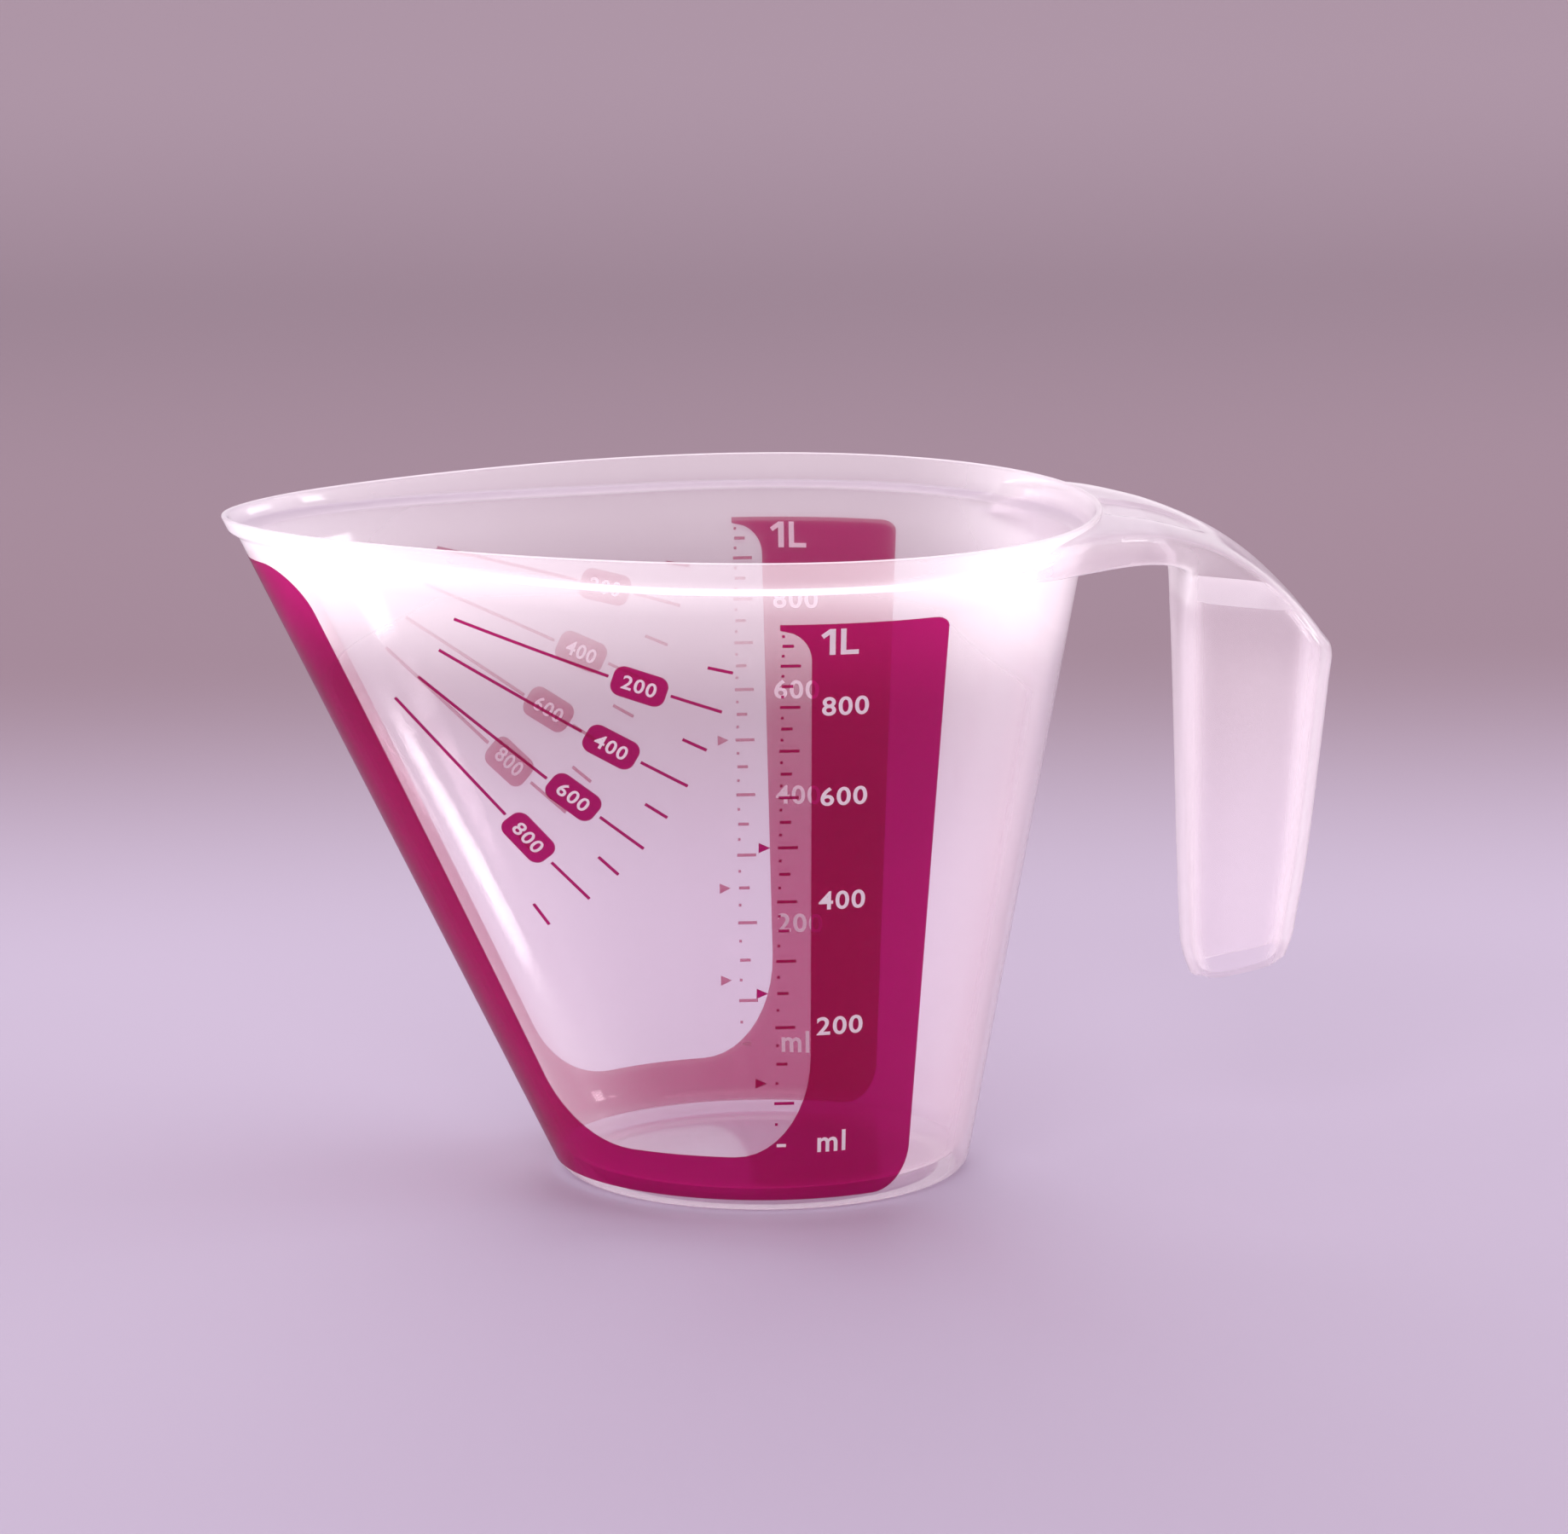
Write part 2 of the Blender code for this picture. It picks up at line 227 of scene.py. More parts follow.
# The handle is a fan of sections, which stand upright in the bridge and lie flat in the grip. Each gives
# its inner and outer points in side view, its half width, and how square it is: 2 is an oval, and 8 is
# nearly a rectangle.
HANDLE_SECTIONS = (
    (44.0, 124.2, 44.0, 131.4, 42.0, 8.0),
    (54.0, 124.4, 54.0, 132.2, 38.4, 8.0),
    (62.0, 124.7, 62.0, 132.7, 33.2, 8.0),
    (68.0, 124.9, 68.0, 132.6, 29.2, 8.0),
    (73.5, 124.7, 73.8, 131.9, 25.4, 7.5),
    (78.5, 124.0, 79.6, 130.7, 22.3, 7.0),
    (82.0, 122.6, 86.6, 128.3, 19.6, 6.5),
    (82.6, 121.2, 93.6, 124.8, 18.3, 6.0),
    (82.8, 119.2, 100.4, 119.9, 17.8, 5.6),
    (82.9, 116.0, 107.0, 113.4, 17.2, 5.2),
    (82.9, 111.0, 111.6, 107.6, 16.5, 4.6),
    (83.0, 106.0, 113.5, 104.4, 16.0, 4.0),
    (83.2, 98.0, 113.1, 97.6, 15.2, 3.6),
    (83.7, 80.0, 111.5, 80.0, 13.3, 3.4),
    (84.2, 62.0, 109.7, 62.0, 11.4, 3.2),
    (84.8, 47.0, 107.9, 50.0, 9.9, 3.0),
    (85.3, 41.8, 107.2, 45.6, 9.3, 2.9),
    (86.9, 37.0, 105.6, 41.0, 8.7, 2.8),
)
BRIDGE_SECTIONS, FIRST_GRIP_SECTION = 7, 9
GRIP_CORNER_LIFT = 2.4
SHELL, BRIDGE_SHELL = 1.9, 2.2
HOLLOW_BELOW_GRIP = 12.0  # how far the grip's hollow is cut past its open end
CHANNEL_BOTTOM, CHANNEL_END = 112.0, 80.6
CHANNEL_CLEARANCE = 0.5  # between the channel under the bridge and the cup's wall
CLEARANCE_BOTTOM, CLEARANCE_TOP = 100.0, HEIGHT + 5.0
RINGS_PER_SPAN = 7
SECTION_POINTS, FINE_POINTS = 144, 2881


def through(values, count):
    """A smooth curve through the rows of values, with count steps a row, by cubic Hermite pieces."""
    values = np.asarray(values, float)
    slopes = np.gradient(values, axis=0)
    place = np.linspace(0.0, len(values) - 1.0, (len(values) - 1) * count + 1)
    first = np.minimum(place.astype(int), len(values) - 2)
    share = (place - first)[:, None]
    start, end = values[first], values[first + 1]
    leave, arrive = slopes[first], slopes[first + 1]
    return (
        start * (1 + 2 * share) * (1 - share) ** 2
        + leave * share * (1 - share) ** 2
        + end * share**2 * (3 - 2 * share)
        + arrive * share**2 * (share - 1)
    )


def section_ring(section, inset=0.0):
    """A superellipse from the inner to the outer point, its points spaced evenly round the edge.

    Along the section it is the cosine, and across it the sine, of an angle, both raised to 2 / squareness.
    """
    inner, outer = np.array(section[0:2]), np.array(section[2:4])
    half_width, squareness = section[4], section[5]
    angle = np.linspace(0.0, 2.0 * np.pi, FINE_POINTS)
    power = 2.0 / squareness
    along = np.sign(np.cos(angle)) * np.abs(np.cos(angle)) ** power
    across = np.sign(np.sin(angle)) * np.abs(np.sin(angle)) ** power
    half = (outer - inner) / 2.0
    half_length = np.hypot(*half)
    travelled = np.hypot(np.diff(along) * (half_length - inset), np.diff(across) * (half_width - inset))
    travelled = np.concatenate([[0.0], np.cumsum(travelled)])
    wanted = np.linspace(0.0, travelled[-1], SECTION_POINTS, endpoint=False)
    along = np.interp(wanted, travelled, along)
    across = np.interp(wanted, travelled, across)
    half = half * (1.0 - inset / half_length)
    middle = (inner + outer) / 2.0
    return np.stack(
        [middle[0] + half[0] * along, (half_width - inset) * across, middle[1] + half[1] * along], axis=-1
    )


sections = through(HANDLE_SECTIONS, RINGS_PER_SPAN)
handle = np.array([section_ring(section) for section in sections])

# The grip's open end is flat, and turns up at its inner and outer corner.
middle_x = (handle[-1, :, 0].min() + handle[-1, :, 0].max()) / 2.0
reach = (handle[-1, :, 0] - middle_x) / np.ptp(handle[-1, :, 0]) * 2.0
handle[-1, :, 2] += GRIP_CORNER_LIFT * reach**6

# A shallow sunk panel in the top of the bridge, which ends in a round toe above the grip.
PANEL_START, PANEL_END, PANEL_HALF_WIDTH, PANEL_DEPTH = 68.5, 87.5, 8.4, 0.7
PANEL_SIDE_SLOPE, PANEL_START_SLOPE = 0.6, 1.0  # half the width of the slope down into the panel
panel_x = np.clip(handle[..., 0], None, PANEL_END - PANEL_HALF_WIDTH)
from_panel = np.hypot(handle[..., 0] - panel_x, handle[..., 1])
past_side = smooth_step(
    PANEL_HALF_WIDTH - PANEL_SIDE_SLOPE, PANEL_HALF_WIDTH + PANEL_SIDE_SLOPE, from_panel
)
past_start = smooth_step(PANEL_START - PANEL_START_SLOPE, PANEL_START + PANEL_START_SLOPE, handle[..., 0])
sunk = (1.0 - past_side) * past_start
upper = handle[..., 2] > handle[..., 2].mean(axis=1, keepdims=True)
handle[..., 2] -= PANEL_DEPTH * sunk * upper

sleeve = [section_ring(section, SHELL) for section in sections[FIRST_GRIP_SECTION * RINGS_PER_SPAN :]]
sleeve.append(sleeve[-1] - (0.0, 0.0, HOLLOW_BELOW_GRIP))

channel = []
for inner_x, _, _, outer_z, half_width, _ in HANDLE_SECTIONS[:BRIDGE_SECTIONS]:
    x, half, roof = min(inner_x, CHANNEL_END), half_width - BRIDGE_SHELL, outer_z - BRIDGE_SHELL
    corners = ((-half, CHANNEL_BOTTOM), (half, CHANNEL_BOTTOM), (half, roof), (-half, roof))
    channel.append([[x, y, z] for y, z in corners])

# The cup as one filled body, which keeps the channel off its wall.
filled_cup = [
    wall(around, CLEARANCE_BOTTOM, CHANNEL_CLEARANCE),
    wall(around, HEIGHT - COLLAR_DEPTH - COLLAR_SHOULDER, CHANNEL_CLEARANCE),
    wall(around, HEIGHT - COLLAR_DEPTH, COLLAR_STEP + CHANNEL_CLEARANCE),
    wall(around, CLEARANCE_TOP, COLLAR_STEP + CHANNEL_CLEARANCE),
]


def cut_or_join(target, other, operation):
    """Applies one Boolean to the target's mesh and removes the other object."""
    step = target.modifiers.new(operation, "BOOLEAN")
    step.operation, step.solver, step.object = operation, "MANIFOLD", other
    graph = bpy.context.evaluated_depsgraph_get()
    mesh = bpy.data.meshes.new_from_object(target.evaluated_get(graph), depsgraph=graph)
    target.modifiers.clear()
    target.data = mesh
    bpy.data.objects.remove(other)


jug = loft("jug_body", outside)
channel_tool = loft("bridge_channel", channel)
cut_or_join(channel_tool, loft("filled_cup", filled_cup), "DIFFERENCE")
cut_or_join(jug, loft("handle_body", handle), "UNION")
cut_or_join(jug, loft("cup_cavity", inside), "DIFFERENCE")
cut_or_join(jug, channel_tool, "DIFFERENCE")
cut_or_join(jug, loft("grip_hollow", sleeve), "DIFFERENCE")


def colour(hex_code, alpha=1.0):
    """A linear colour from an sRGB hex code."""
    srgb = np.array([int(hex_code[i : i + 2], 16) / 255.0 for i in (1, 3, 5)])
    value = np.where(srgb <= 0.04045, srgb / 12.92, ((srgb + 0.055) / 1.055) ** 2.4)
    return (*value.tolist(), alpha)


def add(material, kind, inputs=None, **settings):
    """Adds a node with its settings. An input is a value, or the socket that feeds it."""
    tree = material.node_tree
    node = tree.nodes.new(kind)
    for key, value in settings.items():
        setattr(node, key, value)
    for key, value in (inputs or {}).items():
        if isinstance(value, bpy.types.NodeSocket):
            tree.links.new(value, node.inputs[key])
        else:
            node.inputs[key].default_value = value
    return node


def new_material(name):
    """An empty node material."""
    material = bpy.data.materials.new(name)
    material.use_nodes = True
    material.node_tree.nodes.clear()
    return material


def output_of(material, shader):
    """Sends a shader to the material's output."""
    add(material, "ShaderNodeOutputMaterial", {"Surface": shader.outputs[0]})


def gloss_share(material, straight_on, grazing):
    """How much a smooth surface mirrors: Schlick's rule, the same from inside a thin wall as from outside.

    It goes from the share straight on to the share at a grazing view with the fifth power of the facing.
    """
    facing = add(material, "ShaderNodeLayerWeight", {"Blend": 0.5})
    fifth = add(material, "ShaderNodeMath", {0: facing.outputs["Facing"], 1: 5.0}, operation="POWER")
    return add(
        material,
        "ShaderNodeMapRange",
        {"Value": fifth.outputs[0], "To Min": straight_on, "To Max": grazing},
    )


# Clear polypropylene: light goes straight through, but for a haze that scatters it forward. The haze grows
# as the sight line runs along the wall, towards the thicker rim and in the thick grip. Over it lies a soft
# gloss with the faint waves of a moulded wall.
WAVE_SIZE, WAVE_HEIGHT, WAVE_STRENGTH = 22.0, 0.2, 0.25  # mm between the broad waves, and mm high
HAZE_STRAIGHT_ON, HAZE_ALONG_WALL = 0.06, 0.58
HAZE_LIMIT = 0.72
LOWER_HAZE, RIM_HAZE = 0.7, 2.7  # how the haze is multiplied below and at the rim
RIM_HAZE_FROM, RIM_HAZE_TO = 100.0, 130.0  # mm of height
GRIP_HAZE = 1.7
GRIP_HAZE_FROM, GRIP_HAZE_TO = 65.0, 80.0  # mm behind the part's origin
HAZE_BACKWARD = 0.08  # the share of the haze that sends light back
PLASTIC_GLOSS_STRAIGHT_ON, PLASTIC_GLOSS_GRAZING, PLASTIC_ROUGHNESS = 0.03, 0.7, 0.08

polypropylene = new_material("clear_polypropylene_moulded")
place = add(polypropylene, "ShaderNodeTexCoord")
waves = add(
    polypropylene,
    "ShaderNodeTexNoise",
    {
        "Vector": place.outputs["Object"],
        "Scale": 1.0 / (WAVE_SIZE * METRE),
        "Detail": 2.0,
        "Roughness": 0.4,
    },
)
waviness = add(
    polypropylene,
    "ShaderNodeBump",
    {"Height": waves.outputs[0], "Strength": WAVE_STRENGTH, "Distance": WAVE_HEIGHT * METRE},
)
along_wall = add(polypropylene, "ShaderNodeLayerWeight", {"Blend": 0.5})
haze_share = add(
    polypropylene,
    "ShaderNodeMapRange",
    {"Value": along_wall.outputs["Facing"], "To Min": HAZE_STRAIGHT_ON, "To Max": HAZE_ALONG_WALL},
    interpolation_type="SMOOTHSTEP",
)
point = add(polypropylene, "ShaderNodeSeparateXYZ", {"Vector": place.outputs["Object"]})
rim_haze = add(
    polypropylene,
    "ShaderNodeMapRange",
    {
        "Value": point.outputs["Z"],
        "From Min": RIM_HAZE_FROM * METRE,
        "From Max": RIM_HAZE_TO * METRE,
        "To Min": LOWER_HAZE,
        "To Max": RIM_HAZE,
    },
    interpolation_type="SMOOTHSTEP",
)
grip_haze = add(
    polypropylene,
    "ShaderNodeMapRange",
    {
        "Value": point.outputs["X"],
        "From Min": GRIP_HAZE_FROM * METRE,
        "From Max": GRIP_HAZE_TO * METRE,
        "To Min": 0.0,
        "To Max": GRIP_HAZE,
    },
)
thickness_haze = add(
    polypropylene, "ShaderNodeMath", {0: rim_haze.outputs[0], 1: grip_haze.outputs[0]}, operation="MAXIMUM"
)
haze_grown = add(
    polypropylene,
    "ShaderNodeMath",
    {0: haze_share.outputs[0], 1: thickness_haze.outputs[0]},
    operation="MULTIPLY",
)
haze_here = add(
    polypropylene, "ShaderNodeMath", {0: haze_grown.outputs[0], 1: HAZE_LIMIT}, operation="MINIMUM"
)
through_wall = add(polypropylene, "ShaderNodeBsdfTransparent", {"Color": colour("#FCF9FB")})
forward = add(polypropylene, "ShaderNodeBsdfTranslucent", {"Color": colour("#F6F0F3")})
backward = add(polypropylene, "ShaderNodeBsdfDiffuse", {"Color": colour("#F6F0F3")})
haze = add(
    polypropylene, "ShaderNodeMixShader", {0: HAZE_BACKWARD, 1: forward.outputs[0], 2: backward.outputs[0]}
)
milky_wall = add(
    polypropylene,
    "ShaderNodeMixShader",
    {0: haze_here.outputs[0], 1: through_wall.outputs[0], 2: haze.outputs[0]},
)
gloss = add(
    polypropylene, "ShaderNodeBsdfGlossy", {"Roughness": PLASTIC_ROUGHNESS, "Normal": waviness.outputs[0]}
)
mirror = gloss_share(polypropylene, PLASTIC_GLOSS_STRAIGHT_ON, PLASTIC_GLOSS_GRAZING)
plastic = add(
    polypropylene,
    "ShaderNodeMixShader",
    {0: mirror.outputs[0], 1: milky_wall.outputs[0], 2: gloss.outputs[0]},
)
output_of(polypropylene, plastic)


def finish_piece(obj, material, sharp=35.0):
    """Gives a piece its one material and soft shading, and lets it ride on the jug."""
    obj.data.materials.clear()
    obj.data.materials.append(material)
    obj.data.shade_smooth()
    obj.data.set_sharp_from_angle(angle=np.radians(sharp))
    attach(obj, "root")


finish_piece(jug, polypropylene)
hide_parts("jug_moulding")

# ---------------------------------------------------------------------------------------------------------
# The magenta print. A see-through process ink on the in-mould film, which fuses into the wall, so that it
# darkens where the print of the far side lies behind it. It wraps round the spout's ridge: a strip up the
# ridge, a band round the foot and a panel on each side, with a clear window for the scale between them.
# ---------------------------------------------------------------------------------------------------------

INK_LIFT, INK_THICKNESS = 0.04, 0.05
SIDES = (1.0, -1.0)  # the side that shows, and the far side
PRINT_BOTTOM, PRINT_TOP = 2.6, 121.1
WINDOW_BOTTOM = 11.6
CORNER_ROWS = 12

# The strip up the ridge: its half width in degrees at a height of 116.9, and how much that grows for each
# millimetre below. Its corners at the window's bottom and at its top take a height and a number of degrees.
STRIP_TOP, STRIP_MEASURED_AT = 125.8, 116.9
STRIP_HALF_ANGLE, STRIP_GROWTH = 26.5, 5.2 / 93.0
STRIP_FOOT_HEIGHT, STRIP_FOOT_ANGLE = 12.4, 20.3
STRIP_CORNER_HEIGHT, STRIP_CORNER_ANGLE = 8.8, 11.1

# The panel: the x of its front edge in side view at a height of 32.4, and how it moves with the height. Its
# corners at the window's bottom and at its top take a height and a length along x.
PANEL_X, PANEL_MEASURED_AT, PANEL_LEAN = 6.4, 32.4, 0.0125
PANEL_FOOT_HEIGHT, PANEL_FOOT_LENGTH = 20.8, 14.8
PANEL_CORNER_TOP, PANEL_CORNER_HEIGHT, PANEL_CORNER_LENGTH = 119.9, 6.1, 6.1

# The film's back edge in degrees from the ridge, with its corners as heights and numbers of degrees.
BACK_EDGE = np.radians(128.2)
BACK_FOOT_HEIGHT, BACK_FOOT_ANGLE = 9.0, 11.5
BACK_CORNER_HEIGHT, BACK_CORNER_ANGLE = 2.0, 2.6


def arc(share):
    """The quarter circle from 0 at share 0 to 1 at share 1, flat at the end."""
    return np.sqrt(np.clip(1.0 - (1.0 - np.clip(share, 0.0, 1.0)) ** 2, 0.0, 1.0))


def strip_edge(height):
    """The angle from the ridge to the window, over the height: nearly straight, round at both ends."""
    straight = np.radians(STRIP_HALF_ANGLE + STRIP_GROWTH * (STRIP_MEASURED_AT - height))
    foot = np.radians(STRIP_FOOT_ANGLE) * (1.0 - arc((height - WINDOW_BOTTOM) / STRIP_FOOT_HEIGHT))
    top = np.radians(STRIP_CORNER_ANGLE) * (1.0 - arc((STRIP_TOP - height) / STRIP_CORNER_HEIGHT))
    return straight + foot - top


def panel_edge(height):
    """The angle from the ridge to the panel, over the height: straight in side view, round at both ends."""
    straight = PANEL_X - PANEL_LEAN * (height - PANEL_MEASURED_AT)
    foot = PANEL_FOOT_LENGTH * (1.0 - arc((height - WINDOW_BOTTOM) / PANEL_FOOT_HEIGHT))
    top = PANEL_CORNER_LENGTH * (1.0 - arc((PANEL_CORNER_TOP - height) / PANEL_CORNER_HEIGHT))
    return angle_at(straight - foot - top, height)


def back_edge(height):
    """The angle from the ridge to the film's back edge, over the height, with its two corners rounded."""
    foot = np.radians(BACK_FOOT_ANGLE) * (1.0 - arc((height - PRINT_BOTTOM) / BACK_FOOT_HEIGHT))
    top = np.radians(BACK_CORNER_ANGLE) * (1.0 - arc((PRINT_TOP - height) / BACK_CORNER_HEIGHT))
    return BACK_EDGE - foot - top


def heights_between(low, high, low_round, high_round, count):
    """Heights from low to high, bunched towards both ends over the rounded stretches there."""
    turn = np.linspace(0.0, np.pi / 2.0, CORNER_ROWS)
    lower = low + low_round * (1.0 - np.cos(turn))
    upper = high - high_round * (1.0 - np.cos(turn))[::-1]
    between = np.linspace(low + low_round, high - high_round, count)[1:-1]
    return np.concatenate([lower, between, upper])


def slab(angle, height, lift):
    """A thin closed sheet on the wall: a grid at the lift, one above it by the ink, joined at the edges."""
    under = wall(angle, height, lift)
    over = wall(angle, height, lift + INK_THICKNESS)
    rows, columns = under.shape[:2]
    count = rows * columns
    face = grid_faces(rows, columns)
    index = np.arange(count).reshape(rows, columns)
    rim = np.concatenate([index[0, :-1], index[:-1, -1], index[-1, :0:-1], index[:0:-1, 0]])
    ahead = np.roll(rim, -1)
    edge = np.stack([rim, ahead, ahead + count, rim + count], axis=1)
    return np.concatenate([under.reshape(-1, 3), over.reshape(-1, 3)]), np.concatenate(
        [face[:, ::-1], face + count, edge]
    )


def joined(parts):
    """The points and faces of several parts as one. A face can have any number of corners."""
    points, faces, base = [], [], 0
    for part_points, part_faces in parts:
        points.append(part_points)
        faces.extend([[int(corner) + base for corner in face] for face in part_faces])
        base += len(part_points)
    return np.concatenate(points), faces


def rows_between(left, right, columns):
    """Angles in rows, each running evenly from its left to its right edge."""
    share = np.linspace(0.0, 1.0, columns)[None, :]
    return left[:, None] + (right - left)[:, None] * share


def on_wall(x, z, side, lift):
    """Points of the wall that have this x and z in the jug's side view, on the near or far side."""
    return wall(side * angle_at(x, z), z, lift)


def tile(centre, turn, across, up, lift):
    """A closed sheet laid on both sides of the cup from a flat grid, turned and centred in side view."""
    x = centre[0] + across * np.cos(turn) - up * np.sin(turn)
    z = centre[1] + across * np.sin(turn) + up * np.cos(turn)
    return [slab(side * angle_at(x, z), z, lift) for side in SIDES]


def bar(start, end, width, lift, steps=10):
    """A straight mark with square ends between two points of the side view."""
    start, end = np.array(start), np.array(end)
    run = end - start
    across, up = np.meshgrid(
        np.linspace(-0.5, 0.5, steps) * np.hypot(*run), np.array([-0.5, 0.5]) * width
    )
    return tile((start + end) / 2.0, np.arctan2(run[1], run[0]), across, up, lift)


def rounded_tile(centre, turn, length, width, radius, lift):
    """A plate with rounded corners: each row is as long as the corner circles leave it."""
    up = np.sin(np.linspace(-np.pi / 2.0, np.pi / 2.0, PLATE_ROWS)) * width / 2.0
    over = np.clip(np.abs(up) - (width / 2.0 - radius), 0.0, radius)
    half = length / 2.0 - radius + np.sqrt(radius**2 - over**2)
    across = half[:, None] * np.linspace(-1.0, 1.0, PLATE_COLUMNS)[None, :]
    return tile(centre, turn, across, up[:, None] + 0.0 * across, lift)


def pointer(tip, length, half_height, lift):
    """A small triangle that points towards +x, and whose tip keeps a fiftieth of its height."""
    share = np.linspace(0.0, 1.0, 4)[:, None]
    across = -length * (1.0 - share) + np.zeros((1, 3))
    up = half_height * (1.0 - share * 0.98) * np.array([[-1.0, 0.0, 1.0]])
    return tile(tip, 0.0, across.T, up.T, lift)


# The scale's marks stand where the cup holds their volume: the area inside the wall, summed up from the
# floor. There is a long mark at each 100 ml, a short one at each 50 ml, and a dot half way between. Three
# small triangles point at an eighth, a quarter and half a litre.
LEVELS = 261
levels = np.linspace(FLOOR_TOP, HEIGHT, LEVELS)
ring = wall(around[None, :], levels[:, None], -WALL)
ring_next = np.roll(ring, -1, axis=1)
area = np.abs(np.sum(ring[..., 0] * ring_next[..., 1] - ring_next[..., 0] * ring[..., 1], axis=1)) / 2.0
held = np.concatenate([[0.0], np.cumsum((area[1:] + area[:-1]) / 2.0 * np.diff(levels))]) / 1000.0


def mark_height(volume):
    """The height at which the cup holds this many millilitres."""
    return float(np.interp(volume, held, levels))


PRINT_ROWS, PRINT_COLUMNS = 40, 33
BAND_ROWS, BAND_COLUMNS = 4, 161
BAND_STRETCHES = (8.9, 0.02)  # heights over which the band's rows are bunched, at its bottom and its top
PANEL_TOP_STRETCH = 7.3
MARK_WIDTH = 0.62
LONG_MARK_X, LONG_MARK = -0.6, 3.9
SHORT_MARK_X, SHORT_MARK = -0.3, 2.2
DOT_X, DOT = -0.4, 0.55
POINTER_X, POINTER_LENGTH, POINTER_HALF_HEIGHT = -2.1, 2.2, 1.05
LINE_WIDTH, PLATE_LENGTH, PLATE_WIDTH, PLATE_RADIUS = 0.62, 10.6, 6.2, 2.1
PLATE_ROWS, PLATE_COLUMNS = 25, 13

# The strip, the two panels, and the band round the foot.
body = heights_between(WINDOW_BOTTOM, STRIP_TOP, STRIP_FOOT_HEIGHT, STRIP_CORNER_HEIGHT, PRINT_ROWS)
strip = strip_edge(body)
print_parts = [slab(rows_between(-strip, strip, PRINT_COLUMNS), body[:, None], INK_LIFT)]
body = heights_between(WINDOW_BOTTOM, PRINT_TOP, PANEL_FOOT_HEIGHT, PANEL_TOP_STRETCH, PRINT_ROWS)
panel = rows_between(panel_edge(body), back_edge(body), PRINT_COLUMNS)
for side in SIDES:
    print_parts.append(slab(side * panel, body[:, None], INK_LIFT))
body = heights_between(PRINT_BOTTOM, WINDOW_BOTTOM, *BAND_STRETCHES, BAND_ROWS)
foot_back = back_edge(body)
print_parts.append(slab(rows_between(-foot_back, foot_back, BAND_COLUMNS), body[:, None], INK_LIFT))

for volume in range(75, 1000, 25):
    z = mark_height(volume)
    if volume % 100 == 0:
        print_parts += bar((LONG_MARK_X, z), (LONG_MARK_X + LONG_MARK, z), MARK_WIDTH, INK_LIFT)
    elif volume % 50 == 0:
        print_parts += bar((SHORT_MARK_X, z), (SHORT_MARK_X + SHORT_MARK, z), MARK_WIDTH, INK_LIFT)
    else:
        print_parts += bar((DOT_X, z), (DOT_X + DOT, z), DOT, INK_LIFT, steps=3)
for volume in (125, 250, 500):
    print_parts += pointer((POINTER_X, mark_height(volume)), POINTER_LENGTH, POINTER_HALF_HEIGHT, INK_LIFT)

# The pouring lines show the level while the jug is tilted. Each runs along (x, z) from the spout's side to
# its plate and on from there. Short marks stand between the lines, and beyond the first and the last.
POURING_LINES = (
    ("200", (-61.9, 119.5), (-33.0, 110.1), (-27.2, 108.3), (-21.3, 106.6), (-11.6, 103.6)),
    ("400", (-64.7, 112.8), (-37.9, 98.5), (-32.4, 95.7), (-26.8, 92.9), (-17.9, 88.4)),
    ("600", (-68.6, 106.8), (-44.4, 88.3), (-39.4, 84.9), (-34.4, 81.2), (-26.1, 75.2)),
    ("800", (-72.9, 101.7), (-52.1, 79.9), (-47.8, 75.6), (-43.4, 70.9), (-36.2, 64.0)),
)
POURING_MARKS = (
    ((-14.4, 112.5), (-9.6, 111.5)),
    ((-19.0, 97.9), (-14.4, 95.8)),
    ((-25.9, 84.4), (-21.7, 81.8)),
    ((-34.6, 72.9), (-30.8, 69.5)),
    ((-46.7, 61.7), (-43.7, 57.7)),
)
plates = []
for name, start, before, centre, after, end in POURING_LINES:
    turn = np.arctan2(after[1] - before[1], after[0] - before[0])
    plates.append((name, centre, turn))
    print_parts += bar(start, before, LINE_WIDTH, INK_LIFT, steps=24)
    print_parts += bar(after, end, LINE_WIDTH, INK_LIFT)
    print_parts += rounded_tile(centre, turn, PLATE_LENGTH, PLATE_WIDTH, PLATE_RADIUS, INK_LIFT)
for start, end in POURING_MARKS:
    print_parts += bar(start, end, LINE_WIDTH, INK_LIFT)

magenta_print = bpy.data.objects.new("magenta_print", mesh_of("magenta_print", *joined(print_parts)))
bpy.context.scene.collection.objects.link(magenta_print)
outward_faces(magenta_print.data)

# Process magenta ink: a dense, see-through filter with a satin gloss from the film over it. A little of the
# light scatters on the pigment, which keeps the ink from turning black over a dark ground.
PIGMENT_SHARE = 0.12
INK_GLOSS_STRAIGHT_ON, INK_GLOSS_GRAZING, INK_ROUGHNESS = 0.02, 0.5, 0.2

ink = new_material("magenta_process_ink")
filtered = add(ink, "ShaderNodeBsdfTransparent", {"Color": colour("#DA5DB0")})
pigment = add(ink, "ShaderNodeBsdfTranslucent", {"Color": colour("#B8286C")})
dye = add(ink, "ShaderNodeMixShader", {0: PIGMENT_SHARE, 1: filtered.outputs[0], 2: pigment.outputs[0]})
satin = add(ink, "ShaderNodeBsdfGlossy", {"Roughness": INK_ROUGHNESS})
shine = gloss_share(ink, INK_GLOSS_STRAIGHT_ON, INK_GLOSS_GRAZING)
magenta = add(ink, "ShaderNodeMixShader", {0: shine.outputs[0], 1: dye.outputs[0], 2: satin.outputs[0]})
output_of(ink, magenta)
finish_piece(magenta_print, ink)
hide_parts("label_film")

# ---------------------------------------------------------------------------------------------------------
# The white print. Opaque white ink, which passes through the magenta and stands just above it: the scale's
# numerals and its lowest mark, and the numerals in the plates of the pouring lines.
# ---------------------------------------------------------------------------------------------------------

